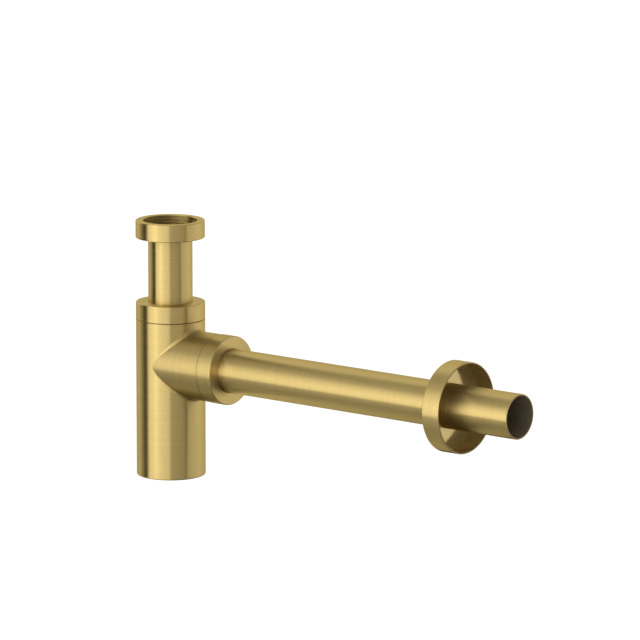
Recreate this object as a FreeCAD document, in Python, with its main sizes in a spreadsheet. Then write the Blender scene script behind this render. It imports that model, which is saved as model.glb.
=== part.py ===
import FreeCAD, Part
import math
import os
import re
import Sketcher

# Bottle trap for a wash basin, turned and brazed from brass, in millimetres.
# The origin is the centre of the union nut's top face, +Z runs up the inlet and +X along the outlet.

# Driving sizes: name, value, what it measures
SIZES = [
    ("tube_diameter", 32.0, "outside of the inlet tube and the outlet tube"),
    ("tube_wall", 1.2, "wall of both tubes"),
    ("tube_end_chamfer", 0.3, "outer bevel on the cut ends of the tubes"),
    ("slide_gap", 0.3, "radial gap where a tube passes through brass or a slip ring"),
    ("seal_gap", 0.1, "gap of a rubber seal to its tube and its conical seat"),
    ("seat_gap", 0.1, "axial gap between rings that are stacked on each other"),
    ("thread_gap", 0.3, "radial gap between a collar's bore and the neck it screws on"),
    ("seam_gap", 0.3, "joint line left between a tightened collar and the body"),
    ("seam_chamfer", 0.3, "bevels on both sides of that joint line"),
    ("nut_diameter", 50.0, "outside of the union nut"),
    ("nut_height", 12.6, "height of the union nut"),
    ("nut_web", 1.8, "floor of the union nut, under the tube's flange"),
    ("nut_edge", 0.7, "rounding of the union nut's outer rims"),
    ("thread_diameter", 38.952, "bore of the G 1 1/4 inlet thread, at its crests"),
    ("thread_depth", 7.0, "depth of that thread below the nut's top face"),
    ("thread_mouth", 0.4, "lead-in bevel at the mouth of the thread"),
    ("relief_depth", 1.6, "how far the undercut below the thread is cut back, past its roots"),
    ("flange_thickness", 1.2, "flange on top of the inlet tube"),
    ("flange_gap", 0.5, "radial gap of flange and gasket inside the thread's bore"),
    ("gasket_thickness", 1.6, "flat rubber gasket on the flange"),
    ("exposed_tube", 46.9, "inlet tube that shows between union nut and inlet collar"),
    ("collar_height", 12.4, "height of the two compression collars"),
    ("collar_share", 0.29, "wall of a collar, as a share of the ring between the tube's hole and the outside"),
    ("collar_top", 2.2, "end plate of a collar, which presses on the slip ring"),
    ("collar_edge", 0.7, "rounding of a collar's outer rim"),
    ("ring_thickness", 1.2, "nylon slip ring under a collar's end plate"),
    ("seal_stand", 0.85, "how far an uncrushed seal stands out of its neck"),
    ("seat_depth", 6.0, "depth of the conical seal seat in a neck"),
    ("seat_ledge", 0.8, "ledge at the foot of the conical seat"),
    ("lip_share", 0.225, "wall of a neck at the mouth of its seat, as a share of that ring"),
    ("shoulder_thickness", 2.0, "plate behind the shoulder that a collar closes on"),
    ("body_diameter", 50.0, "outside of the bottle and the collars"),
    ("body_wall", 2.2, "wall of the bottle and the branch"),
    ("body_floor", 2.5, "floor of the bottle"),
    ("body_edge", 1.0, "rounding of the bottle's foot"),
    ("foot_gap", 16.7, "clear height under the inlet tube's open foot"),
    ("shoulder_gap", 6.4, "bottle wall between the branch and the shoulder under the inlet collar"),
    ("branch_height", 83.2, "axis of the branch above the bottle's foot"),
    ("branch_inset", 0.25, "how far the branch's outside lies inside the bottle's diameter"),
    ("branch_reach", 44.35, "branch from the bottle's axis to its shoulder"),
    ("joint_fillet", 2.5, "brazed fillet where the branch meets the bottle"),
    ("outlet_tube_length", 285.5, "outlet tube from end to end"),
    ("outlet_insertion", 14.4, "outlet tube that reaches in past the branch's shoulder"),
    ("mark_distance", 51.0, "insertion mark from the outlet tube's free end"),
    ("mark_width", 0.8, "width of that rolled mark"),
    ("mark_depth", 0.25, "depth of that rolled mark"),
    ("rosette_diameter", 64.8, "outside of the wall rosette"),
    ("rosette_depth", 14.6, "wall rosette from its front to its rim"),
    ("rosette_wall", 1.2, "sheet of the wall rosette"),
    ("rosette_edge", 1.0, "rounding of the rosette's front rim"),
    ("rosette_setback", 46.5, "rosette's rim back from the outlet tube's free end"),
]
NAMES = [name for name, value, meaning in SIZES]

# Lengths that follow from the driving sizes, as sheet expressions
TUBE_RADIUS = "(tube_diameter / 2)"
TUBE_BORE = "(tube_diameter / 2 - tube_wall)"
GUIDE_RADIUS = "(tube_diameter / 2 + slide_gap)"
NUT_RADIUS = "(nut_diameter / 2)"
THREAD_RADIUS = "(thread_diameter / 2)"
FLANGE_RADIUS = f"({THREAD_RADIUS} - flange_gap)"
BODY_RADIUS = "(body_diameter / 2)"
BODY_HEIGHT = f"(branch_height + {BODY_RADIUS} + shoulder_gap)"
CAVITY_RADIUS = f"({BODY_RADIUS} - body_wall)"
BRANCH_RADIUS = f"({BODY_RADIUS} - branch_inset)"
PASSAGE_RADIUS = f"({BRANCH_RADIUS} - body_wall)"
RING_SPACE = f"({BODY_RADIUS} - {GUIDE_RADIUS})"
COLLAR_BORE = f"({BODY_RADIUS} - collar_share * {RING_SPACE})"
NECK_RADIUS = f"({COLLAR_BORE} - thread_gap)"
SEAT_MOUTH = f"({NECK_RADIUS} - lip_share * {RING_SPACE})"
SEAT_FOOT = f"({GUIDE_RADIUS} + seat_ledge)"
RING_FOOT = "(collar_height - collar_top - seat_gap - ring_thickness)"
NECK_HEIGHT = f"({RING_FOOT} + seam_gap - seat_gap - seal_stand)"
ROSETTE_RADIUS = "(rosette_diameter / 2)"

# Places along the two axes, as sheet expressions
FLANGE_TOP = "(nut_web + seat_gap + flange_thickness - nut_height)"
INLET_COLLAR_FOOT = "(-nut_height - exposed_tube - collar_height)"
INLET_SHOULDER = f"({INLET_COLLAR_FOOT} - seam_gap)"
BODY_FOOT = f"({INLET_SHOULDER} - {BODY_HEIGHT})"
INLET_TUBE_FOOT = f"({BODY_FOOT} + body_floor + foot_gap)"
INLET_TUBE_LENGTH = f"({FLANGE_TOP} - {INLET_TUBE_FOOT})"
OUTLET_AXIS = f"({BODY_FOOT} + branch_height)"
OUTLET_COLLAR_FOOT = "(branch_reach + seam_gap)"
OUTLET_TUBE_START = "(branch_reach - outlet_insertion)"
ROSETTE_FRONT = f"({OUTLET_TUBE_START} + outlet_tube_length - rosette_setback - rosette_depth)"

doc = FreeCAD.newDocument("bottle_trap")
sheet = doc.addObject("Spreadsheet::Sheet", "Sizes")
for row, (name, value, meaning) in enumerate(SIZES, start=1):
    sheet.set(f"A{row}", meaning)
    sheet.set(f"B{row}", str(value))
    sheet.setAlias(f"B{row}", name)
doc.recompute()

pieces = []


def bound(expression):
    """The expression with each size name pointed at its cell in the sheet."""
    return re.sub(r"[a-z_]+", lambda word: f"Sizes.{word.group()}" if word.group() in NAMES else word.group(),
                  expression)


def new_piece(label):
    """A body for one physical piece of the trap."""
    body = doc.addObject("PartDesign::Body", label)
    body.Label = label
    pieces.append(body)
    return body


def origin_plane(body, role):
    """One of the body's own three planes."""
    return next(feature for feature in body.Origin.OriginFeatures if feature.Role == role)


def drive(sketch, kind, curve, point, expression):
    """Holds one coordinate of a sketch point at a sheet expression."""
    index = sketch.addConstraint(Sketcher.Constraint(kind, -1, 1, curve, point, 1.0))
    sketch.setExpression(f"Constraints[{index}]", bound(expression))


def section(body, name, corners, axis_height=None):
    """A closed half section in the XZ plane; each corner is (across, along) in sheet expressions.

    With axis_height a construction line lies along X at that height, to turn the section about.
    """
    sketch = body.newObject("Sketcher::SketchObject", name)
    sketch.AttachmentSupport = [(origin_plane(body, "XZ_Plane"), "")]
    sketch.MapMode = "FlatFace"
    count = len(corners)
    rough_centre = FreeCAD.Vector(2, 2, 0)
    rough = [rough_centre + FreeCAD.Vector(math.cos(math.tau * i / count), math.sin(math.tau * i / count), 0)
             for i in range(count)]
    for i in range(count):
        sketch.addGeometry(Part.LineSegment(rough[i], rough[(i + 1) % count]), False)
    for i in range(count):
        sketch.addConstraint(Sketcher.Constraint("Coincident", i, 2, (i + 1) % count, 1))
    for i, (across, along) in enumerate(corners):
        drive(sketch, "DistanceX", i, 1, across)
        drive(sketch, "DistanceY", i, 1, along)
    if axis_height is not None:
        line = sketch.addGeometry(Part.LineSegment(FreeCAD.Vector(0, 1, 0), FreeCAD.Vector(1, 1, 0)), True)
        sketch.addConstraint(Sketcher.Constraint("Horizontal", line))
        drive(sketch, "DistanceX", line, 1, "0")
        drive(sketch, "DistanceX", line, 2, "branch_reach")
        drive(sketch, "DistanceY", line, 1, axis_height)
    return sketch


def turn(body, name, sketch, axis="V_Axis", cut=False):
    """Turns a half section right round, as metal added or cut away."""
    feature = body.newObject("PartDesign::Groove" if cut else "PartDesign::Revolution", name)
    feature.Profile = sketch
    feature.ReferenceAxis = (sketch, [axis])
    feature.Angle = 360
    feature.Refine = True
    doc.recompute()
    return feature


def disc(body, name, radius, height):
    """A circle in the YZ plane, centred at the given height."""
    sketch = body.newObject("Sketcher::SketchObject", name)
    sketch.AttachmentSupport = [(origin_plane(body, "YZ_Plane"), "")]
    sketch.MapMode = "FlatFace"
    circle = sketch.addGeometry(Part.Circle(FreeCAD.Vector(0, 1, 0), FreeCAD.Vector(0, 0, 1), 1), False)
    drive(sketch, "DistanceX", circle, 3, "0")
    drive(sketch, "DistanceY", circle, 3, height)
    width = sketch.addConstraint(Sketcher.Constraint("Radius", circle, 1.0))
    sketch.setExpression(f"Constraints[{width}]", bound(radius))
    return sketch


def extrude(body, name, sketch, length):
    """Pads a sketch along its plane's normal."""
    feature = body.newObject("PartDesign::Pad", name)
    feature.Profile = sketch
    feature.setExpression("Length", bound(length))
    feature.Refine = True
    doc.recompute()
    return feature


def round_edges(body, name, base, edges, radius):
    """Rounds the numbered edges of a feature."""
    fillet = body.newObject("PartDesign::Fillet", name)
    fillet.Base = (base, [f"Edge{number}" for number in edges])
    fillet.setExpression("Radius", bound(radius))
    doc.recompute()
    return fillet


def circles(feature):
    """Number and curve of each round edge, without the points where a fillet runs out."""
    return [(number, edge.Curve) for number, edge in enumerate(feature.Shape.Edges, start=1)
            if not edge.Degenerated and edge.Curve.TypeId == "Part::GeomCircle"]


def outer_rims(feature, ends):
    """Edge numbers of the widest circles at the feature's lower end, its upper end, or both."""
    box = feature.Shape.BoundBox
    levels = {"lower": box.ZMin, "upper": box.ZMax}
    found = []
    for end in ends:
        rims = [(circle.Radius, number) for number, circle in circles(feature)
                if abs(circle.Center.z - levels[end]) < 1e-6]
        found.append(max(rims)[1])
    return found


def far_rim(feature):
    """Edge number of the circle that lies furthest along X."""
    return max((circle.Center.x, number) for number, circle in circles(feature))[1]


def stand(body, height):
    """Sets a piece on the inlet axis, its foot at the given height."""
    body.setExpression("Placement.Base.z", bound(height))


def lay(body, distance):
    """Lays a piece along the outlet axis, its foot at the given distance from the inlet axis."""
    body.Placement = FreeCAD.Placement(FreeCAD.Vector(), FreeCAD.Rotation(FreeCAD.Vector(0, 1, 0), 90))
    body.setExpression("Placement.Base.x", bound(distance))
    body.setExpression("Placement.Base.z", bound(OUTLET_AXIS))


def inlet_union_nut():
    """Loose nut that draws the inlet tube's flange up against the basin waste."""
    body = new_piece("inlet_union_nut")
    turned = turn(body, "nut_turned", section(body, "nut_section", [
        (GUIDE_RADIUS, "0"),
        (NUT_RADIUS, "0"),
        (NUT_RADIUS, "nut_height"),
        (f"{THREAD_RADIUS} + thread_mouth", "nut_height"),
        (THREAD_RADIUS, "nut_height - thread_mouth"),
        (THREAD_RADIUS, "nut_height - thread_depth"),
        (f"{THREAD_RADIUS} + relief_depth", "nut_height - thread_depth"),
        (f"{THREAD_RADIUS} + relief_depth", "nut_web"),
        (GUIDE_RADIUS, "nut_web"),
    ]))
    round_edges(body, "nut_rims", turned, outer_rims(turned, ["lower", "upper"]), "nut_edge")
    stand(body, "-nut_height")


def inlet_tube():
    """Tube that dips into the bottle's water, with a flange for the union nut to lift."""
    body = new_piece("inlet_tube")
    turn(body, "tube_turned", section(body, "tube_section", [
        (TUBE_BORE, "0"),
        (f"{TUBE_RADIUS} - tube_end_chamfer", "0"),
        (TUBE_RADIUS, "tube_end_chamfer"),
        (TUBE_RADIUS, f"{INLET_TUBE_LENGTH} - flange_thickness"),
        (FLANGE_RADIUS, f"{INLET_TUBE_LENGTH} - flange_thickness"),
        (FLANGE_RADIUS, INLET_TUBE_LENGTH),
        (TUBE_BORE, INLET_TUBE_LENGTH),
    ]))
    stand(body, INLET_TUBE_FOOT)


def inlet_gasket():
    """Flat rubber ring between the flange and the basin waste."""
    body = new_piece("inlet_gasket")
    turn(body, "gasket_turned", section(body, "gasket_section", [
        (TUBE_BORE, "0"),
        (FLANGE_RADIUS, "0"),
        (FLANGE_RADIUS, "gasket_thickness"),
        (TUBE_BORE, "gasket_thickness"),
    ]))
    stand(body, FLANGE_TOP)


def collar(label):
    """Round compression nut, threaded inside, with a plate that presses on the slip ring."""
    body = new_piece(label)
    turned = turn(body, f"{label}_turned", section(body, f"{label}_section", [
        (COLLAR_BORE, "0"),
        (f"{BODY_RADIUS} - seam_chamfer", "0"),
        (BODY_RADIUS, "seam_chamfer"),
        (BODY_RADIUS, "collar_height"),
        (GUIDE_RADIUS, "collar_height"),
        (GUIDE_RADIUS, "collar_height - collar_top"),
        (COLLAR_BORE, "collar_height - collar_top"),
    ]))
    round_edges(body, f"{label}_rim", turned, outer_rims(turned, ["upper"]), "collar_edge")
    return body


def slip_ring(label):
    """Nylon ring that lets the collar turn without dragging the seal."""
    body = new_piece(label)
    turn(body, f"{label}_turned", section(body, f"{label}_section", [
        (GUIDE_RADIUS, "0"),
        (f"{COLLAR_BORE} - slide_gap", "0"),
        (f"{COLLAR_BORE} - slide_gap", "ring_thickness"),
        (GUIDE_RADIUS, "ring_thickness"),
    ]))
    return body


def seal(label):
    """Rubber wedge ring, which the collar squeezes into the neck's cone and onto the tube."""
    body = new_piece(label)
    turn(body, f"{label}_turned", section(body, f"{label}_section", [
        (f"{TUBE_RADIUS} + seal_gap", "0"),
        (f"{SEAT_FOOT} - seal_gap", "0"),
        (f"{SEAT_MOUTH} - seal_gap", "seat_depth - seal_gap"),
        (f"{SEAT_MOUTH} - seal_gap", "seat_depth - seal_gap + seal_stand"),
        (f"{TUBE_RADIUS} + seal_gap", "seat_depth - seal_gap + seal_stand"),
    ]))
    return body


def trap_body():
    """Bottle with its side branch: a closed tee whose two necks carry threads and seal seats."""
    body = new_piece("trap_body")
    bottle = turn(body, "bottle", section(body, "bottle_section", [
        ("0", "0"),
        (BODY_RADIUS, "0"),
        (BODY_RADIUS, f"{BODY_HEIGHT} - seam_chamfer"),
        (f"{BODY_RADIUS} - seam_chamfer", BODY_HEIGHT),
        (NECK_RADIUS, BODY_HEIGHT),
        (NECK_RADIUS, f"{BODY_HEIGHT} + {NECK_HEIGHT}"),
        ("0", f"{BODY_HEIGHT} + {NECK_HEIGHT}"),
    ]))
    foot = round_edges(body, "bottle_foot", bottle, outer_rims(bottle, ["lower"]), "body_edge")
    branch = extrude(body, "branch", disc(body, "branch_disc", BRANCH_RADIUS, "branch_height"), "branch_reach")
    meeting_edges = [number for number, edge in enumerate(branch.Shape.Edges, start=1)
                     if edge.Curve.TypeId not in ("Part::GeomLine", "Part::GeomCircle")]
    brazed = round_edges(body, "branch_fillet", branch, meeting_edges, "joint_fillet")
    bevelled = body.newObject("PartDesign::Chamfer", "branch_bevel")
    bevelled.Base = (brazed, [f"Edge{far_rim(brazed)}"])
    bevelled.setExpression("Size", bound("seam_chamfer"))
    neck = extrude(body, "branch_neck", disc(body, "neck_disc", NECK_RADIUS, "branch_height"),
                   f"branch_reach + {NECK_HEIGHT}")
    well = turn(body, "bottle_well", section(body, "well_section", [
        ("0", "body_floor"),
        (CAVITY_RADIUS, "body_floor"),
        (CAVITY_RADIUS, f"{BODY_HEIGHT} - shoulder_thickness"),
        (GUIDE_RADIUS, f"{BODY_HEIGHT} - shoulder_thickness"),
        (GUIDE_RADIUS, f"{BODY_HEIGHT} + {NECK_HEIGHT} - seat_depth"),
        (SEAT_FOOT, f"{BODY_HEIGHT} + {NECK_HEIGHT} - seat_depth"),
        (SEAT_MOUTH, f"{BODY_HEIGHT} + {NECK_HEIGHT}"),
        ("0", f"{BODY_HEIGHT} + {NECK_HEIGHT}"),
    ]), cut=True)
    passage = turn(body, "branch_passage", section(body, "passage_section", [
        ("0", "branch_height"),
        ("0", f"branch_height + {PASSAGE_RADIUS}"),
        ("branch_reach - shoulder_thickness", f"branch_height + {PASSAGE_RADIUS}"),
        ("branch_reach - shoulder_thickness", f"branch_height + {GUIDE_RADIUS}"),
        (f"branch_reach + {NECK_HEIGHT} - seat_depth", f"branch_height + {GUIDE_RADIUS}"),
        (f"branch_reach + {NECK_HEIGHT} - seat_depth", f"branch_height + {SEAT_FOOT}"),
        (f"branch_reach + {NECK_HEIGHT}", f"branch_height + {SEAT_MOUTH}"),
        (f"branch_reach + {NECK_HEIGHT}", "branch_height"),
    ], axis_height="branch_height"), axis="Axis0", cut=True)
    stand(body, BODY_FOOT)
    for smaller, larger in [(foot, bottle), (foot, branch), (branch, brazed), (bevelled, brazed),
                            (bevelled, neck), (well, neck), (passage, well)]:
        if smaller.Shape.Volume >= larger.Shape.Volume:
            raise RuntimeError(f"{smaller.Label} and {larger.Label} add or cut the wrong way")


def outlet_tube():
    """Tube to the wall drain, with a rolled mark for how far it goes in."""
    body = new_piece("outlet_tube")
    turn(body, "outlet_turned", section(body, "outlet_section", [
        (TUBE_BORE, "0"),
        (f"{TUBE_RADIUS} - tube_end_chamfer", "0"),
        (TUBE_RADIUS, "tube_end_chamfer"),
        (TUBE_RADIUS, "outlet_tube_length - mark_distance - mark_width"),
        (f"{TUBE_RADIUS} - mark_depth", "outlet_tube_length - mark_distance - mark_width"),
        (f"{TUBE_RADIUS} - mark_depth", "outlet_tube_length - mark_distance"),
        (TUBE_RADIUS, "outlet_tube_length - mark_distance"),
        (TUBE_RADIUS, "outlet_tube_length - tube_end_chamfer"),
        (f"{TUBE_RADIUS} - tube_end_chamfer", "outlet_tube_length"),
        (TUBE_BORE, "outlet_tube_length"),
    ]))
    lay(body, OUTLET_TUBE_START)


def wall_rosette():
    """Pressed cup that slides on the outlet tube and covers the hole in the wall."""
    body = new_piece("wall_rosette")
    pressed = turn(body, "rosette_pressed", section(body, "rosette_section", [
        (GUIDE_RADIUS, "0"),
        (ROSETTE_RADIUS, "0"),
        (ROSETTE_RADIUS, "rosette_depth"),
        (f"{ROSETTE_RADIUS} - rosette_wall", "rosette_depth"),
        (f"{ROSETTE_RADIUS} - rosette_wall", "rosette_wall"),
        (GUIDE_RADIUS, "rosette_wall"),
    ]))
    round_edges(body, "rosette_rim", pressed, outer_rims(pressed, ["lower"]), "rosette_edge")
    lay(body, ROSETTE_FRONT)


inlet_union_nut()
inlet_tube()
inlet_gasket()
trap_body()
stand(seal("inlet_seal"), f"{INLET_SHOULDER} + {NECK_HEIGHT} - seat_depth + seal_gap")
stand(slip_ring("inlet_slip_ring"), f"{INLET_COLLAR_FOOT} + {RING_FOOT}")
stand(collar("inlet_collar"), INLET_COLLAR_FOOT)
lay(seal("outlet_seal"), f"branch_reach + {NECK_HEIGHT} - seat_depth + seal_gap")
lay(slip_ring("outlet_slip_ring"), f"{OUTLET_COLLAR_FOOT} + {RING_FOOT}")
lay(collar("outlet_collar"), OUTLET_COLLAR_FOOT)
outlet_tube()
wall_rosette()
doc.recompute()

for item in doc.Objects:
    if "Invalid" in item.State or "Error" in item.State:
        raise RuntimeError(f"{item.Label} did not build: {item.State}")
for piece in pieces:
    if piece.Shape.isNull() or not piece.Shape.isValid() or len(piece.Shape.Solids) != 1:
        raise RuntimeError(f"{piece.Label} is not one sound solid")

os.makedirs("parts", exist_ok=True)
for piece in pieces:
    piece.Shape.exportStep(f"parts/{piece.Label}.step")
    box = piece.Shape.BoundBox
    print(f"{piece.Label:16s} volume {piece.Shape.Volume:9.1f}  z {box.ZMin:8.2f} {box.ZMax:8.2f}  "
          f"x {box.XMin:7.2f} {box.XMax:7.2f}")
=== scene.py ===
import itertools
import math

import bpy
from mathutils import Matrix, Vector


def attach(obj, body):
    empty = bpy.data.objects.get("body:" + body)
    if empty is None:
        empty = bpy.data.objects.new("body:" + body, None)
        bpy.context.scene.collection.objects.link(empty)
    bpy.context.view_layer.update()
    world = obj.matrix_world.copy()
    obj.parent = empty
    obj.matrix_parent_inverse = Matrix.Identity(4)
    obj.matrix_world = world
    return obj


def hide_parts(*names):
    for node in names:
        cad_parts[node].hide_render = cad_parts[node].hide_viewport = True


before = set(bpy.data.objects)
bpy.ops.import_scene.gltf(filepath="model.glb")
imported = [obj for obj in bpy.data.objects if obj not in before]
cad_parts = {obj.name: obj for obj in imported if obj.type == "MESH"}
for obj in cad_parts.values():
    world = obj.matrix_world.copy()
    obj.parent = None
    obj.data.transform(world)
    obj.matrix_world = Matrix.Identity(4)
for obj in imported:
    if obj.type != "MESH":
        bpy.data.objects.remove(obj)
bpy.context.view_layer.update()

# UNION NUT
# A round nut turned from brass bar, with a G 1 1/4 pipe thread cut inside it.
# It hangs loose on the inlet tube and draws the tube's flange up to the basin waste.

MM = 0.001  # the pieces' sizes are in mm
COLUMNS = 192
TUBE_RADIUS = 16.0
SLIDE_GAP = 0.3
GUIDE_RADIUS = TUBE_RADIUS + SLIDE_GAP
NUT_RADIUS = 25.0
NUT_HEIGHT = 12.6
NUT_WEB = 1.8
NUT_FLOOR = NUT_WEB - NUT_HEIGHT
NUT_RIM = 0.7
NUT_HOLE_EDGE = 0.2
INLET_CREST = 19.476
INLET_ROOT = 20.955
INLET_PITCH = 2.309
INLET_DEPTH = 7.0
INLET_MOUTH = 0.4
INLET_MOUTH_EDGE = 0.15
UNDERCUT = 1.6
UNDERCUT_RADIUS = INLET_CREST + UNDERCUT
UNDERCUT_EDGE = 0.3


def linear(code):
    """A colour written as sRGB hex, as linear light."""
    shares = [int(code[i:i + 2], 16) / 255 for i in (1, 3, 5)]
    return [c / 12.92 if c <= 0.04045 else ((c + 0.055) / 1.055) ** 2.4 for c in shares] + [1.0]


def upright(across, along, angle):
    """A direction on a piece that turns about the inlet axis."""
    return Vector((across * math.cos(angle), across * math.sin(angle), along))


def outline(corners, steps=5):
    """The edge of a turned section, from (radius, height, rounding) corners in mm, anticlockwise.

    Each point comes with the normals of the edges before and after it, and the number of its corner.
    """
    points = []
    for i, (radius, height, rounding) in enumerate(corners):
        here = Vector((radius, height))
        back = (Vector(corners[i - 1][:2]) - here).normalized()
        ahead = (Vector(corners[(i + 1) % len(corners)][:2]) - here).normalized()
        before = Vector((-back.y, back.x))
        after = Vector((ahead.y, -ahead.x))
        if rounding == 0:
            points.append((here, before, after, i))
            continue
        half = math.acos(max(-1, min(1, back.dot(ahead)))) / 2
        centre = here + (back + ahead).normalized() * rounding / math.sin(half)
        outward = 1 if before.dot(ahead) < 0 else -1
        full_turn = math.atan2(before.x * after.y - before.y * after.x, before.dot(after))
        for step in range(steps + 1):
            turn = full_turn * step / steps
            normal = Vector((before.x * math.cos(turn) - before.y * math.sin(turn),
                             before.x * math.sin(turn) + before.y * math.cos(turn)))
            points.append((centre + outward * rounding * normal, normal, normal, i))
    return points


def all_round(columns=COLUMNS):
    """Angles of the columns right round a piece, the first one again at the end."""
    return [math.tau * i / columns for i in range(columns + 1)]


def quads(rows):
    """The faces of a patch given as rows of (place, normal)."""
    for lower, upper in zip(rows, rows[1:]):
        for i in range(len(lower) - 1):
            yield [lower[i], lower[i + 1], upper[i + 1], upper[i]]


def turned(points, direction, centre=Vector(), angles=None, left_out=(), only=None):
    """The faces that an outline sweeps about its axis, without the parts in left_out, or only some parts.

    Part 4 is the rounding of corner 4, counted from 0, and part 4.5 is the edge from it to corner 5.
    """
    angles = angles or all_round()
    for i, (start, _, leaving, corner) in enumerate(points):
        end, arriving, _, next_corner = points[(i + 1) % len(points)]
        part = corner if corner == next_corner else corner + 0.5
        if part in left_out or (only and part not in only):
            continue
        yield from quads([
            [(centre + direction(start.x, start.y, a), direction(leaving.x, leaving.y, a)) for a in angles],
            [(centre + direction(end.x, end.y, a), direction(arriving.x, arriving.y, a)) for a in angles]])


def thread(direction, centre, heights, pitch, crest, root, plain, inside, angles=None):
    """The faces of a right-hand thread between two heights; at both ends it runs out to the plain radius."""
    low, high = heights
    rows_per_turn = 14
    rows = round(abs(high - low) / pitch * rows_per_turn)
    run_out = 0.8
    flank = 1.5  # over 1, so that crests and roots have short flats
    side = -1 if inside else 1

    def radius(height, angle):
        share = (height / pitch - angle / math.tau) % 1
        wave = max(-1, min(1, flank * (4 * abs(share - 0.5) - 1)))
        eased = wave * (1.5 - 0.5 * wave * wave)
        full = min(1, abs(height - low) / run_out, abs(height - high) / run_out)
        return plain + (crest + (root - crest) * (0.5 + 0.5 * eased) - plain) * full

    def corner(height, angle):
        nudge_up, nudge_round = 0.02, 0.002
        here = radius(height, angle)
        gain_up = radius(height + nudge_up, angle) - radius(height - nudge_up, angle)
        gain_round = radius(height, angle + nudge_round) - radius(height, angle - nudge_round)
        slope_up, slope_round = gain_up / (2 * nudge_up), gain_round / (2 * nudge_round)
        ahead = direction(1, 0, angle + math.pi / 2)
        normal = side * (direction(1, -slope_up, angle) - ahead * slope_round / here)
        return centre + direction(here, height, angle), normal.normalized()

    levels = [low + (high - low) * i / rows for i in range(rows + 1)]
    yield from quads([[corner(level, a) for a in angles or all_round()] for level in levels])


def make_piece(name, patches, finishes):
    """One object in metres from patches of faces, each with the index of its finish.

    Corners at the same place become one point, and every corner keeps its own normal.
    """
    cell, slack = 0.004, 0.0005  # mm
    points, cells, faces, normals, finish_of = [], {}, [], [], []

    def weld(place):
        spans = [{math.floor((c - slack) / cell), math.floor((c + slack) / cell)} for c in place]
        keys = list(itertools.product(*spans))
        found = next((cells[key] for key in keys if key in cells), len(points))
        if found == len(points):
            points.append(place * MM)
            cells.update((key, found) for key in keys)
        return found

    for faces_in, finish in patches:
        for corners in faces_in:
            loop = []
            for place, normal in corners:
                point = weld(place)
                if point not in [p for p, _ in loop]:
                    loop.append((point, normal))
            if len(loop) > 2:
                faces.append([p for p, _ in loop])
                normals.extend(n for _, n in loop)
                finish_of.append(finish)
    mesh = bpy.data.meshes.new(name)
    mesh.from_pydata(points, [], faces)
    mesh.polygons.foreach_set("use_smooth", [True] * len(faces))
    for finish in finishes:
        mesh.materials.append(finish)
    mesh.polygons.foreach_set("material_index", finish_of)
    mesh.normals_split_custom_set(normals)
    piece = bpy.data.objects.new(name, mesh)
    bpy.context.scene.collection.objects.link(piece)
    return piece


def new_finish(name):
    """A material with no nodes yet."""
    material = bpy.data.materials.new(name)
    material.use_nodes = True
    material.node_tree.nodes.clear()
    return material


def add(material, kind, inputs=None, **settings):
    """Adds a node with its settings; an input is a value, or a socket to link."""
    node = material.node_tree.nodes.new(kind)
    for setting, value in settings.items():
        setattr(node, setting, value)
    for socket, value in (inputs or {}).items():
        if isinstance(value, bpy.types.NodeSocket):
            material.node_tree.links.new(value, node.inputs[socket])
        else:
            node.inputs[socket].default_value = value
    return node


def brushed_brass(name, axis, centre=(0, 0, 0), satin=0.32, pale="#BEA76B", deep="#AF9A63", metallic=1.0):
    """Brass brushed with abrasive belts while it turns: fine rings round the axis, a satin gold.

    The rings smear a reflection along the axis and leave it sharp across, so a card shows as a long stripe.
    """
    grain = 1.0 * MM  # rings of a 240 grit belt are nearer 0.06 mm, too fine to show, so drawn coarser
    streak = 80 * MM
    scratch = 0.02 * MM
    edge = linear("#FFF1C4")  # keeps the gold at a flat angle, where bare Fresnel turns white
    faint, strong = 0.3, 0.7  # most of the noise lies between these
    material = new_finish(name)
    where = add(material, "ShaderNodeTexCoord")
    local = add(material, "ShaderNodeVectorMath", {0: where.outputs["Object"], 1: centre},
                operation="SUBTRACT")
    around = add(material, "ShaderNodeVectorMath", {0: axis, 1: local.outputs[0]},
                 operation="CROSS_PRODUCT")
    reach = add(material, "ShaderNodeVectorMath", {0: around.outputs[0]}, operation="LENGTH")
    spacing = [1 / grain if part else 1 / streak for part in axis]
    lines = add(material, "ShaderNodeVectorMath", {0: local.outputs[0], 1: spacing}, operation="MULTIPLY")
    rings = add(material, "ShaderNodeMath", {0: reach.outputs["Value"], 1: 1 / grain}, operation="MULTIPLY")
    brush = add(material, "ShaderNodeTexNoise",
                {"Vector": lines.outputs[0], "W": rings.outputs[0], "Scale": 1.0, "Detail": 3.0,
                 "Roughness": 0.65}, noise_dimensions="4D")
    tone = add(material, "ShaderNodeValToRGB", {"Fac": brush.outputs["Fac"]})
    for stop, place, colour in zip(tone.color_ramp.elements, (faint, strong), (deep, pale)):
        stop.position = place
        stop.color = linear(colour)
    gloss = add(material, "ShaderNodeMapRange",
                {"Value": brush.outputs["Fac"], "From Min": faint, "From Max": strong,
                 "To Min": 0.9 * satin, "To Max": 1.1 * satin})
    relief = add(material, "ShaderNodeBump",
                 {"Height": brush.outputs["Fac"], "Strength": 0.05, "Distance": scratch})
    facing = add(material, "ShaderNodeNewGeometry")
    ring = add(material, "ShaderNodeVectorTransform", {0: around.outputs[0]},
               vector_type="VECTOR", convert_from="OBJECT", convert_to="WORLD")
    smear = add(material, "ShaderNodeVectorMath", {0: facing.outputs["Normal"], 1: ring.outputs[0]},
                operation="CROSS_PRODUCT")
    even = add(material, "ShaderNodeVectorMath", {0: smear.outputs[0]}, operation="NORMALIZE")
    brass = add(material, "ShaderNodeBsdfPrincipled",
                {"Base Color": tone.outputs["Color"], "Metallic": metallic,
                 "Roughness": gloss.outputs["Result"], "Specular Tint": edge, "Anisotropic": 1.0,
                 "Tangent": even.outputs[0], "Normal": relief.outputs["Normal"]})
    add(material, "ShaderNodeOutputMaterial", {"Surface": brass.outputs[0]})
    return material


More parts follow.
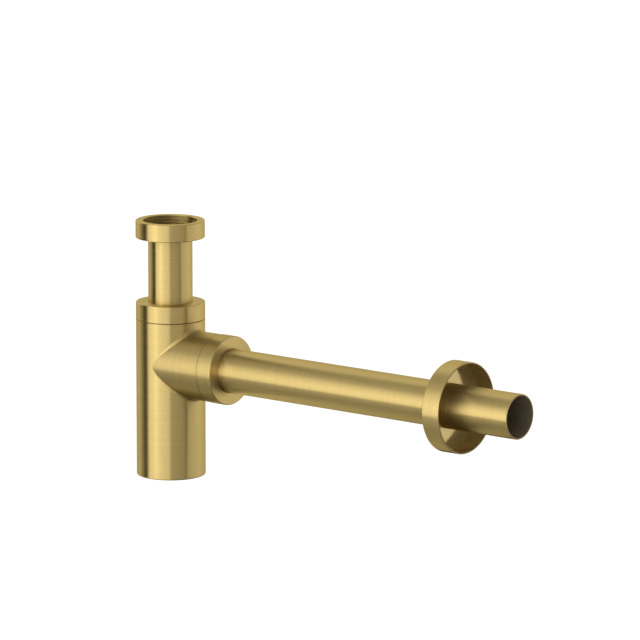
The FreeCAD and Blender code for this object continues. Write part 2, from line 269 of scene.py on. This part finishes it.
inlet_brass = brushed_brass("brushed_brass_round_inlet", (0, 0, 1))

nut_points = outline([
    (GUIDE_RADIUS, -NUT_HEIGHT, NUT_HOLE_EDGE), (NUT_RADIUS, -NUT_HEIGHT, NUT_RIM),
    (NUT_RADIUS, 0, NUT_RIM), (INLET_CREST + INLET_MOUTH, 0, INLET_MOUTH_EDGE),
    (INLET_CREST, -INLET_MOUTH, 0), (INLET_CREST, -INLET_DEPTH, 0), (UNDERCUT_RADIUS, -INLET_DEPTH, 0),
    (UNDERCUT_RADIUS, NUT_FLOOR, UNDERCUT_EDGE), (GUIDE_RADIUS, NUT_FLOOR, NUT_HOLE_EDGE)])
nut_thread_part = [4.5]
inlet_thread = thread(upright, Vector(), (-INLET_MOUTH, -INLET_DEPTH), INLET_PITCH, INLET_CREST, INLET_ROOT,
                      INLET_CREST, inside=True)
union_nut = make_piece("union_nut", [(turned(nut_points, upright, left_out=nut_thread_part), 0),
                                     (inlet_thread, 0)], [inlet_brass])
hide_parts("inlet_union_nut")
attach(union_nut, "union_nut")

# FLAT GASKET
# A ring punched from black rubber sheet, matt with a faint bloom.
# It lies on the tube's flange and the basin waste presses on it.

TUBE_WALL = 1.2
TUBE_BORE = TUBE_RADIUS - TUBE_WALL
SEAT_GAP = 0.1
FLANGE_THICKNESS = 1.2
FLANGE_GAP = 0.5
FLANGE_RADIUS = INLET_CREST - FLANGE_GAP
FLANGE_TOP = NUT_FLOOR + SEAT_GAP + FLANGE_THICKNESS
GASKET_THICKNESS = 1.6
GASKET_TOP = FLANGE_TOP + GASKET_THICKNESS
GASKET_EDGE = 0.2


def nitrile_rubber(name):
    """Black nitrile rubber: matt, a little grey where it has been handled."""
    cloud = 8 * MM
    pore = 0.4 * MM
    pore_depth = 0.05 * MM
    material = new_finish(name)
    where = add(material, "ShaderNodeTexCoord")
    bloom = add(material, "ShaderNodeTexNoise",
                {"Vector": where.outputs["Object"], "Scale": 1 / cloud, "Detail": 4.0})
    tone = add(material, "ShaderNodeValToRGB", {"Fac": bloom.outputs["Fac"]})
    for stop, place, colour in zip(tone.color_ramp.elements, (0.35, 0.70), ("#1B1B1C", "#2B2B2C")):
        stop.position = place
        stop.color = linear(colour)
    pores = add(material, "ShaderNodeTexNoise",
                {"Vector": where.outputs["Object"], "Scale": 1 / pore, "Detail": 2.0})
    skin = add(material, "ShaderNodeBump",
               {"Height": pores.outputs["Fac"], "Strength": 0.2, "Distance": pore_depth})
    rubber = add(material, "ShaderNodeBsdfPrincipled",
                 {"Base Color": tone.outputs["Color"], "Roughness": 0.68, "IOR": 1.52,
                  "Normal": skin.outputs["Normal"]})
    add(material, "ShaderNodeOutputMaterial", {"Surface": rubber.outputs[0]})
    return material


black_rubber = nitrile_rubber("black_nitrile_rubber")

gasket_points = outline([(TUBE_BORE, FLANGE_TOP, GASKET_EDGE), (FLANGE_RADIUS, FLANGE_TOP, GASKET_EDGE),
                         (FLANGE_RADIUS, GASKET_TOP, GASKET_EDGE), (TUBE_BORE, GASKET_TOP, GASKET_EDGE)])
gasket = make_piece("flat_gasket", [(turned(gasket_points, upright), 0)], [black_rubber])
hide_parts("inlet_gasket")
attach(gasket, "dip_tube")

# INLET TUBE
# A drawn brass tube of 32 mm with a flange at its top, brushed round where it shows.
# The nut lifts it by the flange, and its open foot dips into the water in the bottle.

INLET_TUBE_LENGTH = 158.1
INLET_TUBE_FOOT = FLANGE_TOP - INLET_TUBE_LENGTH
FLANGE_FOOT = FLANGE_TOP - FLANGE_THICKNESS
TUBE_EDGE = 0.15
TUBE_END_EDGE = 0.3


def unbrushed_brass(name, deep, pale):
    """Brass left as it was drawn or cut: dull with oil and oxide, in faint cloudy patches."""
    patch = 5 * MM
    material = new_finish(name)
    where = add(material, "ShaderNodeTexCoord")
    cloud = add(material, "ShaderNodeTexNoise",
                {"Vector": where.outputs["Object"], "Scale": 1 / patch, "Detail": 3.0})
    tone = add(material, "ShaderNodeValToRGB", {"Fac": cloud.outputs["Fac"]})
    for stop, place, colour in zip(tone.color_ramp.elements, (0.35, 0.65), (deep, pale)):
        stop.position = place
        stop.color = linear(colour)
    dull = add(material, "ShaderNodeBsdfPrincipled",
               {"Base Color": tone.outputs["Color"], "Metallic": 0.6, "Roughness": 0.45})
    add(material, "ShaderNodeOutputMaterial", {"Surface": dull.outputs[0]})
    return material


drawn_brass = unbrushed_brass("drawn_brass_inside", "#7E725D", "#897C65")

inlet_tube_points = outline([
    (TUBE_BORE, INLET_TUBE_FOOT, TUBE_EDGE), (TUBE_RADIUS, INLET_TUBE_FOOT, TUBE_END_EDGE),
    (TUBE_RADIUS, FLANGE_FOOT, 0), (FLANGE_RADIUS, FLANGE_FOOT, TUBE_EDGE),
    (FLANGE_RADIUS, FLANGE_TOP, TUBE_EDGE), (TUBE_BORE, FLANGE_TOP, TUBE_EDGE)])
inlet_bore_part = [5.5]
inlet_tube = make_piece("dip_tube", [(turned(inlet_tube_points, upright, left_out=inlet_bore_part), 0),
                                     (turned(inlet_tube_points, upright, only=inlet_bore_part), 1)],
                        [inlet_brass, drawn_brass])
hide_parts("inlet_tube")
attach(inlet_tube, "dip_tube")

# COMPRESSION COLLARS
# Two equal round nuts turned from brass, threaded inside, flush with the body that they close on.
# Each screws onto a neck and presses a slip ring and a wedge seal onto the tube.

EXPOSED_TUBE = 46.9
BODY_RADIUS = 25.0
BRANCH_REACH = 44.35
OUTLET_AXIS = Vector((0, 0, -103.6))
SEAM_GAP = 0.3
SEAM_BEVEL = 0.3
SEAM_EDGE = 0.1
COLLAR_HEIGHT = 12.4
COLLAR_PLATE = 2.2
COLLAR_RIM = 0.7
COLLAR_HOLE_EDGE = 0.15
COLLAR_PLATE_EDGE = 0.1
COLLAR_CORNER = 0.2
DRAWN_GAP = 0.08  # holes round a tube are drawn this close, where the solids keep SLIDE_GAP to slide
DRAWN_HOLE = TUBE_RADIUS + DRAWN_GAP
NECK_RISE = 8.25
NECK_PITCH = 1.5
NECK_CREST = 22.6
NECK_ROOT = 22.0
THREAD_PLAY = 0.2
INLET_COLLAR_FOOT = -NUT_HEIGHT - EXPOSED_TUBE - COLLAR_HEIGHT
OUTLET_COLLAR_FOOT = BRANCH_REACH + SEAM_GAP


def lying(across, along, angle):
    """A direction on a piece that turns about the outlet axis."""
    return Vector((along, across * math.cos(angle), across * math.sin(angle)))


# The branch and its collar have a slightly coarser brushing than the tube, so their stripes are softer.
outlet_brass = brushed_brass("brushed_brass_round_outlet", (1, 0, 0), OUTLET_AXIS * MM)
branch_brass = brushed_brass("brushed_brass_round_branch", (1, 0, 0), OUTLET_AXIS * MM, satin=0.38)

collar_places = [("inlet", upright, Vector(), INLET_COLLAR_FOOT),
                 ("outlet", lying, OUTLET_AXIS, OUTLET_COLLAR_FOOT)]
collar_finishes = {"inlet": [inlet_brass, inlet_brass], "outlet": [branch_brass, outlet_brass]}
collar_bore = NECK_CREST + THREAD_PLAY
collar_face_part, collar_thread_part = [3.5], [7.5]

for place, direction, centre, foot in collar_places:
    top = foot + COLLAR_HEIGHT
    plate = top - COLLAR_PLATE
    thread_top = foot + NECK_RISE
    collar_points = outline([
        (collar_bore, foot, 0), (BODY_RADIUS - SEAM_BEVEL, foot, SEAM_EDGE),
        (BODY_RADIUS, foot + SEAM_BEVEL, SEAM_EDGE), (BODY_RADIUS, top, COLLAR_RIM),
        (DRAWN_HOLE, top, COLLAR_HOLE_EDGE), (DRAWN_HOLE, plate, COLLAR_PLATE_EDGE),
        (collar_bore, plate, COLLAR_CORNER), (collar_bore, thread_top, 0)])
    collar_thread = thread(direction, centre, (thread_top, foot), NECK_PITCH, collar_bore,
                           NECK_ROOT + THREAD_PLAY, collar_bore, inside=True)
    collar_side = turned(collar_points, direction, centre, left_out=collar_face_part + collar_thread_part)
    collar_face = turned(collar_points, direction, centre, only=collar_face_part)
    collar = make_piece(f"collar_{place}", [(collar_side, 0), (collar_face, 1), (collar_thread, 0)],
                        collar_finishes[place])
    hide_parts(f"{place}_collar")
    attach(collar, f"{place}_collar")

# SLIP RINGS
# Two flat washers moulded in natural nylon, off-white and satin.
# They lie between collar and seal, so that the seal isn't dragged round as the collar turns.

RING_THICKNESS = 1.2
RING_RADIUS = 22.1
RING_EDGE = 0.15
RING_RISE = COLLAR_HEIGHT - COLLAR_PLATE - SEAT_GAP - RING_THICKNESS


def moulded_nylon(name):
    """Natural polyamide: off-white, satin, with the faint flow marks of the mould."""
    flow_mark = 6 * MM
    material = new_finish(name)
    where = add(material, "ShaderNodeTexCoord")
    flow = add(material, "ShaderNodeTexNoise",
               {"Vector": where.outputs["Object"], "Scale": 1 / flow_mark, "Detail": 3.0, "Distortion": 0.6})
    tone = add(material, "ShaderNodeValToRGB", {"Fac": flow.outputs["Fac"]})
    for stop, place, colour in zip(tone.color_ramp.elements, (0.35, 0.70), ("#DDD8C8", "#EAE6DA")):
        stop.position = place
        stop.color = linear(colour)
    nylon = add(material, "ShaderNodeBsdfPrincipled",
                {"Base Color": tone.outputs["Color"], "Roughness": 0.42, "IOR": 1.53})
    add(material, "ShaderNodeOutputMaterial", {"Surface": nylon.outputs[0]})
    return material


natural_nylon = moulded_nylon("natural_nylon")

for place, direction, centre, collar_foot in collar_places:
    foot = collar_foot + RING_RISE
    top = foot + RING_THICKNESS
    ring_points = outline([(GUIDE_RADIUS, foot, RING_EDGE), (RING_RADIUS, foot, RING_EDGE),
                           (RING_RADIUS, top, RING_EDGE), (GUIDE_RADIUS, top, RING_EDGE)])
    ring = make_piece(f"slip_ring_{place}", [(turned(ring_points, direction, centre), 0)], [natural_nylon])
    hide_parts(f"{place}_slip_ring")
    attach(ring, f"{place}_ring")

# WEDGE SEALS
# Two tapered rings moulded in black rubber, which sit in the conical mouths of the body's necks.
# The collars squeeze them into the cone and onto the tube.

SEAL_GAP = 0.1
SEAL_HOLE = TUBE_RADIUS + SEAL_GAP
SEAL_RISE = 2.05
SEAL_HEIGHT = 6.75
SEAL_TAPER = 5.9
SEAL_FOOT_RADIUS = 17.0
SEAL_RADIUS = 20.1
SEAL_FOOT_EDGE = 0.2
SEAL_TOP_EDGE = 0.3

for place, direction, centre, collar_foot in collar_places:
    foot = collar_foot + SEAL_RISE
    top = foot + SEAL_HEIGHT
    seal_points = outline([
        (SEAL_HOLE, foot, SEAL_FOOT_EDGE), (SEAL_FOOT_RADIUS, foot, SEAL_FOOT_EDGE),
        (SEAL_RADIUS, foot + SEAL_TAPER, SEAL_TOP_EDGE), (SEAL_RADIUS, top, SEAL_TOP_EDGE),
        (SEAL_HOLE, top, SEAL_TOP_EDGE)])
    seal = make_piece(f"wedge_seal_{place}", [(turned(seal_points, direction, centre), 0)], [black_rubber])
    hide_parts(f"{place}_seal")
    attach(seal, "trap")

# TRAP BODY
# The closed bottle and its side branch, brazed into one tee and brushed round each of their own axes.
# Two threaded necks with conical seats take the collars, and a small fillet softens the brazed joint.

BODY_HEIGHT = 114.6
BODY_WALL = 2.2
BODY_FLOOR = 2.5
BODY_EDGE = 1.0
BRANCH_INSET = 0.25
BRANCH_RADIUS = BODY_RADIUS - BRANCH_INSET
FILLET = 2.5
WELL_RADIUS = BODY_RADIUS - BODY_WALL
PASSAGE_RADIUS = BRANCH_RADIUS - BODY_WALL
SHOULDER = INLET_COLLAR_FOOT - SEAM_GAP
SHOULDER_PLATE = 2.0
FOOT = SHOULDER - BODY_HEIGHT
WELL_FLOOR = FOOT + BODY_FLOOR
WELL_TOP = SHOULDER - SHOULDER_PLATE
SEAT_DEPTH = 6.0
SEAT_RISE = NECK_RISE - SEAT_DEPTH
SEAT_MOUTH = 20.22
SEAT_FOOT = 17.1
NECK_EDGE = 0.1
TEE_COLUMNS = 240


def tee_curves(bottle, branch, fillet, columns):
    """Where a ball that rolls in the corner of the tee touches, for each angle round the branch.

    Gives the angle, the ball's centre and its touch on bottle and branch, measured from the outlet axis.
    """
    curves = []
    for turn in all_round(columns):
        y, z = (branch + fillet) * math.cos(turn), (branch + fillet) * math.sin(turn)
        x = math.sqrt((bottle + fillet) ** 2 - y * y)
        share = bottle / (bottle + fillet)
        slim = branch / (branch + fillet)
        on_bottle = Vector((x * share, y * share, z))
        on_branch = Vector((x, y * slim, z * slim))
        curves.append((turn, Vector((x, y, z)), on_bottle, on_branch))
    return curves


def tee_skin(bottle, branch, fillet, low, high, end, columns, side):
    """The faces of bottle wall, fillet and branch wall; side is 1 outside and -1 in the hollow.

    Also gives the angles of the bottle's columns, so that what is above and below it meets them.
    """
    curves = tee_curves(bottle, branch, fillet, columns)
    half = columns // 2
    axis = OUTLET_AXIS.z
    rows, back, strips = 12, 48, 6
    hole = [math.atan2(touch.y, touch.x) for _, _, touch, _ in curves[:half + 1]]
    rest = [hole[-1] - (math.tau - hole[0] + hole[-1]) * i / back for i in range(back + 1)]
    bottle_angles = hole + rest[1:]

    def wall(angle, height):
        return upright(bottle, height, angle), side * upright(1, 0, angle)

    def column(angle, start, finish):
        return [wall(angle, start + (finish - start) * i / rows) for i in range(rows + 1)]

    joint, branch_wall = [], []
    rise = [touch.z for _, _, touch, _ in curves[:half + 1]]
    above = [column(a, axis + z, high) for a, z in zip(hole, rise)]
    above += [column(a, axis, high) for a in rest[1:]]
    below = [column(a, low, axis - z) for a, z in zip(hole, rise)]
    below += [column(a, low, axis) for a in rest[1:]]
    bottle_wall = list(quads(above)) + list(quads(below))
    if fillet:
        arcs = []
        for _, ball, on_bottle, on_branch in curves:
            start, finish = (ball - on_bottle) / fillet, (ball - on_branch) / fillet
            arc = []
            for i in range(strips + 1):
                normal = start.lerp(finish, i / strips).normalized()
                arc.append((OUTLET_AXIS + ball - normal * fillet, side * normal))
            arcs.append(arc)
        joint = list(quads(arcs))
    for turn, _, _, on_branch in curves:
        normal = side * lying(1, 0, turn)
        reaches = [on_branch.x + (end - on_branch.x) * i / rows for i in range(rows + 1)]
        branch_wall.append([(OUTLET_AXIS + lying(branch, reach, turn), normal) for reach in reaches])
    branch_faces = list(quads(branch_wall))
    if side > 0:
        joint = [corners[::-1] for corners in joint]
        branch_faces = [corners[::-1] for corners in branch_faces]
    else:
        bottle_wall = [corners[::-1] for corners in bottle_wall]
    return bottle_wall, joint, branch_faces, bottle_angles


def neck(rim, shoulder):
    """Corners of a neck from the rim of its shoulder, up the thread, down the conical seat, to the hollow."""
    return [(rim, shoulder - SEAM_BEVEL, 0), (rim - SEAM_BEVEL, shoulder, 0), (NECK_ROOT, shoulder, 0),
            (NECK_ROOT, shoulder + NECK_RISE, 0), (SEAT_MOUTH, shoulder + NECK_RISE, NECK_EDGE),
            (SEAT_FOOT, shoulder + SEAT_RISE, 0), (GUIDE_RADIUS, shoulder + SEAT_RISE, NECK_EDGE),
            (GUIDE_RADIUS, shoulder - SHOULDER_PLATE, 0)]


outer_bottle, outer_joint, outer_branch, bottle_angles = tee_skin(
    BODY_RADIUS, BRANCH_RADIUS, FILLET, FOOT + BODY_EDGE, SHOULDER - SEAM_BEVEL, BRANCH_REACH - SEAM_BEVEL,
    TEE_COLUMNS, side=1)
inner_bottle, _, inner_branch, well_angles = tee_skin(
    WELL_RADIUS, PASSAGE_RADIUS, 0, WELL_FLOOR, WELL_TOP, BRANCH_REACH - SHOULDER_PLATE, TEE_COLUMNS, side=-1)
bottle_turns, well_turns = bottle_angles[::-1], well_angles[::-1]
branch_turns = all_round(TEE_COLUMNS)

bottle_points = outline(neck(BODY_RADIUS, SHOULDER) + [
    (WELL_RADIUS, WELL_TOP, 0), (WELL_RADIUS, WELL_FLOOR, 0), (0, WELL_FLOOR, 0), (0, FOOT, 0),
    (BODY_RADIUS, FOOT, BODY_EDGE)])
branch_points = outline(neck(BRANCH_RADIUS, BRANCH_REACH) + [
    (PASSAGE_RADIUS, BRANCH_REACH - SHOULDER_PLATE, 0), (PASSAGE_RADIUS, 0, 0), (BRANCH_RADIUS, 0, 0)])

# Other patches make the threads, the outer walls, the passage's wall and the well's ceiling, wall and floor.
# The bottle's axis and the branch's inner end only close the outlines.
bottle_left_out = [2.5, 7.5, 8.5, 9.5, 10.5, 12.5]
branch_left_out = [2.5, 8.5, 9.5, 10.5]

down = Vector((0, 0, -1))
ceiling = quads([[(upright(GUIDE_RADIUS, WELL_TOP, a), down) for a in bottle_turns],
                 [(upright(WELL_RADIUS, WELL_TOP, a), down) for a in well_turns]])
well_floor = quads([[(upright(WELL_RADIUS, WELL_FLOOR, a), -down) for a in well_turns],
                    [(upright(0, WELL_FLOOR, a), -down) for a in well_turns]])
bottle_neck = turned(bottle_points, upright, Vector(), bottle_turns, left_out=bottle_left_out)
bottle_thread = thread(upright, Vector(), (SHOULDER, SHOULDER + NECK_RISE), NECK_PITCH, NECK_CREST, NECK_ROOT,
                       NECK_ROOT, inside=False, angles=bottle_turns)
branch_neck = turned(branch_points, lying, OUTLET_AXIS, branch_turns, left_out=branch_left_out)
branch_thread = thread(lying, OUTLET_AXIS, (BRANCH_REACH, BRANCH_REACH + NECK_RISE), NECK_PITCH, NECK_CREST,
                       NECK_ROOT, NECK_ROOT, inside=False, angles=branch_turns)
trap_body = make_piece("trap_body_brazed", [
    (outer_bottle, 0), (outer_joint, 0), (outer_branch, 1), (inner_bottle, 0), (inner_branch, 1),
    (bottle_neck, 0), (ceiling, 0), (well_floor, 0), (bottle_thread, 0),
    (branch_neck, 1), (branch_thread, 1)], [inlet_brass, branch_brass])
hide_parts("trap_body")
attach(trap_body, "trap")

# OUTLET TUBE
# A drawn brass tube of 32 mm, cut square, brushed round, with a shallow rolled mark near its free end.
# It slides in the branch until the collar grips it, and its free end goes into the wall drain.

OUTLET_INSERTION = 14.4
OUTLET_LENGTH = 285.5
OUTLET_START = BRANCH_REACH - OUTLET_INSERTION
OUTLET_END = OUTLET_START + OUTLET_LENGTH
OUTLET_END_EDGE = 0.5
MARK_DISTANCE = 51.0
MARK_WIDTH = 0.8
MARK_DEPTH = 0.25
MARK_RADIUS = TUBE_RADIUS - MARK_DEPTH
MARK_END = OUTLET_END - MARK_DISTANCE
MARK_START = MARK_END - MARK_WIDTH

cut_brass = unbrushed_brass("cut_brass_edge", "#66522C", "#725D35")

outlet_tube_points = outline([
    (TUBE_BORE, OUTLET_START, TUBE_EDGE), (TUBE_RADIUS, OUTLET_START, TUBE_END_EDGE),
    (TUBE_RADIUS, MARK_START, 0), (MARK_RADIUS, MARK_START, 0), (MARK_RADIUS, MARK_END, 0),
    (TUBE_RADIUS, MARK_END, 0), (TUBE_RADIUS, OUTLET_END, OUTLET_END_EDGE),
    (TUBE_BORE, OUTLET_END, TUBE_EDGE)])
cut_end_parts, outlet_bore_part = [6.5, 7], [7.5]
tube_outside = turned(outlet_tube_points, lying, OUTLET_AXIS, left_out=cut_end_parts + outlet_bore_part)
tube_inside = turned(outlet_tube_points, lying, OUTLET_AXIS, only=outlet_bore_part)
tube_cut = turned(outlet_tube_points, lying, OUTLET_AXIS, only=cut_end_parts)
outlet_tube = make_piece("wall_tube", [(tube_outside, 0), (tube_inside, 1), (tube_cut, 2)],
                         [outlet_brass, drawn_brass, cut_brass])
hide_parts("outlet_tube")
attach(outlet_tube, "outlet_tube")

# WALL ROSETTE
# A cup pressed from brass sheet of 1.2 mm, brushed round, open towards the wall.
# It slides along the outlet tube and hides the hole in the wall.

ROSETTE_RADIUS = 32.4
ROSETTE_DEPTH = 14.6
ROSETTE_SHEET = 1.2
ROSETTE_SETBACK = 46.5
ROSETTE_RIM = OUTLET_END - ROSETTE_SETBACK
ROSETTE_FRONT = ROSETTE_RIM - ROSETTE_DEPTH
CUP_RADIUS = ROSETTE_RADIUS - ROSETTE_SHEET
CUP_FLOOR = ROSETTE_FRONT + ROSETTE_SHEET
ROSETTE_FRONT_EDGE = 1.0
ROSETTE_RIM_EDGE = 0.4
ROSETTE_HOLE_EDGE = 0.2
CUP_EDGE = 0.1

# Inside, the cup is brushed finer and left duller than outside, and its gold is set deeper: painted shade for
# the hollow of the cup.
cup_brass_painted_shade = brushed_brass("brushed_brass_in_cup_painted_shade", (1, 0, 0), OUTLET_AXIS * MM,
                          satin=0.10, pale="#B19C68", deep="#A69162", metallic=0.70)

rosette_points = outline([
    (DRAWN_HOLE, ROSETTE_FRONT, ROSETTE_HOLE_EDGE), (ROSETTE_RADIUS, ROSETTE_FRONT, ROSETTE_FRONT_EDGE),
    (ROSETTE_RADIUS, ROSETTE_RIM, ROSETTE_RIM_EDGE), (CUP_RADIUS, ROSETTE_RIM, CUP_EDGE),
    (CUP_RADIUS, CUP_FLOOR, CUP_EDGE), (DRAWN_HOLE, CUP_FLOOR, CUP_EDGE)])
cut_rim_parts, cup_parts = [2.5, 3], [3.5, 4, 4.5]
rosette_outside = turned(rosette_points, lying, OUTLET_AXIS, left_out=cut_rim_parts + cup_parts)
rosette_inside = turned(rosette_points, lying, OUTLET_AXIS, only=cup_parts)
rosette_cut = turned(rosette_points, lying, OUTLET_AXIS, only=cut_rim_parts)
rosette = make_piece("rosette_cup", [(rosette_outside, 0), (rosette_inside, 1), (rosette_cut, 2)],
                     [outlet_brass, cup_brass_painted_shade, cut_brass])
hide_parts("wall_rosette")
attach(rosette, "rosette")

# STUDIO
# A wide pale floor and white surroundings, with reflector cards round the part that only its shine sees.
# The cards give the brass its stripes: a bright softbox at the left, a thin black flag and grey walls.

FLOOR_HEIGHT = -0.80  # the studio's sizes are in metres
FLOOR_REACH = 40
FLOOR_GLOW = 0.2
WHITE = linear("#FFFFFF")
CARD_REACH = 2.2
CARD_TOP = 2.6
CARD_LIFT = 0.02
CARD_STEP = 4
CARD_CENTRE = Vector((0.12, 0, -0.12))
CARD_FOOT = FLOOR_HEIGHT - CARD_CENTRE.z + CARD_LIFT
STEEPEST = 89.9
CAMERA_BEARING = math.radians(-51.0)
CAMERA_PLACE = Vector((2.8144, -3.3291, 0.7677))
CAMERA_AIM = Vector((-0.61517, 0.76528, -0.18953))

floor_finish = new_finish("pale_floor")
ray = add(floor_finish, "ShaderNodeLightPath")
seen_or_mirrored = add(floor_finish, "ShaderNodeMath",
                       {0: ray.outputs["Is Camera Ray"], 1: ray.outputs["Is Glossy Ray"]},
                       operation="MAXIMUM")
seen = add(floor_finish, "ShaderNodeMath",
           {0: seen_or_mirrored.outputs[0], 1: ray.outputs["Is Transmission Ray"]}, operation="MAXIMUM")
strength = add(floor_finish, "ShaderNodeMath", {0: seen.outputs[0], 1: FLOOR_GLOW}, operation="MULTIPLY")
paper = add(floor_finish, "ShaderNodeBsdfDiffuse", {"Color": linear("#F2F2F2")})
glow = add(floor_finish, "ShaderNodeEmission", {"Color": WHITE, "Strength": strength.outputs[0]})
both = add(floor_finish, "ShaderNodeAddShader", {0: paper.outputs[0], 1: glow.outputs[0]})
add(floor_finish, "ShaderNodeOutputMaterial", {"Surface": both.outputs[0]})
floor_mesh = bpy.data.meshes.new("floor")
floor_corners = [(-FLOOR_REACH, -FLOOR_REACH, FLOOR_HEIGHT), (FLOOR_REACH, -FLOOR_REACH, FLOOR_HEIGHT),
                 (FLOOR_REACH, FLOOR_REACH, FLOOR_HEIGHT), (-FLOOR_REACH, FLOOR_REACH, FLOOR_HEIGHT)]
floor_mesh.from_pydata(floor_corners, [], [(0, 1, 2, 3)])
floor_mesh.materials.append(floor_finish)
floor = bpy.data.objects.new("floor", floor_mesh)
bpy.context.scene.collection.objects.link(floor)

card_finish = new_finish("reflector_card")
level = add(card_finish, "ShaderNodeAttribute", attribute_name="brightness")
sheen = add(card_finish, "ShaderNodeEmission", {"Color": WHITE, "Strength": level.outputs["Fac"]})
add(card_finish, "ShaderNodeOutputMaterial", {"Surface": sheen.outputs[0]})


def finer(stops):
    """The stops, with more between them so that none is further than CARD_STEP from the next."""
    spread = [stops[0]]
    for start, finish in zip(stops, stops[1:]):
        parts = math.ceil((finish - start) / CARD_STEP)
        spread += [start + (finish - start) * (i + 1) / parts for i in range(parts)]
    return spread


def between(place, stops, values):
    """The value at a place among rising stops, in straight runs from stop to stop."""
    for start, finish, low, high in zip(stops, stops[1:], values, values[1:]):
        if place <= finish + 1e-6:
            return low + (high - low) * (place - start) / (finish - start)
    return values[-1]


def card(name, bearings, rows):
    """A card that curves round the part: in over the floor, up like a wall and back over like a ceiling.

    Bearings run in degrees from the camera to the right. Each row has an elevation in degrees, seen from
    the part, and a brightness for each bearing. The card is seen in reflections alone.
    """
    columns = finer(bearings)
    points, values = [], []
    for elevation in finer([height for height, _ in rows]):
        slope = math.tan(math.radians(max(-STEEPEST, min(STEEPEST, elevation))))
        height = max(CARD_FOOT, min(CARD_TOP, CARD_REACH * slope))
        reach = min(CARD_REACH, height / slope) if slope else CARD_REACH
        for bearing in columns:
            angle = CAMERA_BEARING + math.radians(bearing)
            points.append(CARD_CENTRE + Vector((reach * math.cos(angle), reach * math.sin(angle), height)))
            across = [(stop, between(bearing, bearings, row)) for stop, row in rows]
            values.append(between(elevation, *zip(*across)))
    wide = len(columns)
    faces = [(i, i + 1, i + wide + 1, i + wide) for i in range(len(points) - wide) if (i + 1) % wide]
    mesh = bpy.data.meshes.new(name)
    mesh.from_pydata(points, [], faces)
    mesh.attributes.new("brightness", "FLOAT", "POINT").data.foreach_set("value", values)
    mesh.materials.append(card_finish)
    panel = bpy.data.objects.new(name, mesh)
    bpy.context.scene.collection.objects.link(panel)
    for rays in ("camera", "diffuse", "transmission", "volume_scatter", "shadow"):
        setattr(panel, f"visible_{rays}", False)


card("softbox_left", [-85, -76, -66, -53, -40, -5], [
    (-90, [0.12, 0.12, 0.12, 0.12, 0.12, 0.12]),
    (-45, [0.80, 0.80, 0.60, 0.40, 0.35, 0.30]),
    (-18, [1.35, 1.40, 1.05, 1.05, 0.95, 0.95]),
    (-13, [1.05, 2.15, 2.30, 3.10, 2.80, 2.45]),
    (5, [1.05, 2.25, 2.45, 3.80, 3.05, 2.55]),
    (15, [1.75, 2.50, 2.40, 3.30, 2.60, 1.75]),
    (30, [2.65, 2.65, 2.25, 2.40, 1.45, 0.90]),
    (45, [2.50, 1.90, 1.25, 0.90, 0.75, 0.70]),
    (90, [1.50, 1.15, 0.85, 0.70, 0.70, 0.60])])
card("black_flag", [-130, -117, -106, -99, -91, -85], [
    (-90, [0.12, 0.12, 0.12, 0.12, 0.12, 0.12]),
    (-45, [1.75, 1.25, 0.80, 0.58, 0.55, 0.65]),
    (-18, [0.65, 0.40, 0.15, 0.00, 0.00, 0.45]),
    (0, [1.15, 0.75, 0.30, 0.00, 0.00, 0.45]),
    (15, [1.20, 0.75, 0.30, 0.00, 0.00, 0.60]),
    (40, [0.85, 0.75, 0.50, 0.15, 0.10, 0.90]),
    (90, [0.85, 0.70, 0.40, 0.10, 0.10, 0.60])])
card("left_wall", [-180, -140, -130], [
    (-90, [0.15, 0.15, 0.15]),
    (-45, [1.20, 1.45, 1.75]),
    (-18, [0.35, 0.60, 0.65]),
    (0, [0.30, 0.90, 1.15]),
    (15, [0.70, 1.12, 1.20]),
    (40, [1.40, 1.25, 0.85]),
    (90, [1.30, 1.15, 0.85])])
card("front_wall", [-5, 25, 57], [
    (-90, [0.00, 0.00, 0.00]),
    (-45, [0.17, 0.17, 0.17]),
    (-18, [0.85, 0.68, 0.50]),
    (5, [1.30, 1.26, 1.12]),
    (20, [0.95, 0.80, 0.60]),
    (45, [0.65, 0.48, 0.30]),
    (90, [0.40, 0.35, 0.20])])
card("right_wall", [57, 70, 110, 140, 180], [
    (-90, [0.00, 0.00, 0.00, 0.00, 0.00]),
    (-45, [0.15, 0.15, 0.25, 0.35, 0.25]),
    (-20, [0.50, 0.50, 0.60, 0.50, 0.30]),
    (-16, [1.50, 1.60, 1.60, 1.00, 0.25]),
    (12, [1.45, 1.50, 1.50, 1.05, 0.65]),
    (22, [0.40, 0.40, 0.45, 0.60, 1.20]),
    (45, [0.37, 0.37, 0.42, 0.50, 1.40]),
    (90, [0.35, 0.35, 0.40, 0.50, 1.30])])

world = bpy.data.worlds.new("white_surroundings")
world.use_nodes = True
world.node_tree.nodes.clear()
sky = add(world, "ShaderNodeBackground", {"Color": WHITE, "Strength": 1.0})
add(world, "ShaderNodeOutputWorld", {"Surface": sky.outputs[0]})
bpy.context.scene.world = world

camera_lens = bpy.data.cameras.new("camera")
camera_lens.sensor_width = 36.0
camera_lens.lens = 345.99
camera_lens.clip_end = 200.0
camera = bpy.data.objects.new("camera", camera_lens)
camera.location = CAMERA_PLACE
camera.rotation_euler = CAMERA_AIM.to_track_quat("-Z", "Y").to_euler()
bpy.context.scene.collection.objects.link(camera)
bpy.context.scene.camera = camera
bpy.context.scene.view_settings.view_transform = "Standard"
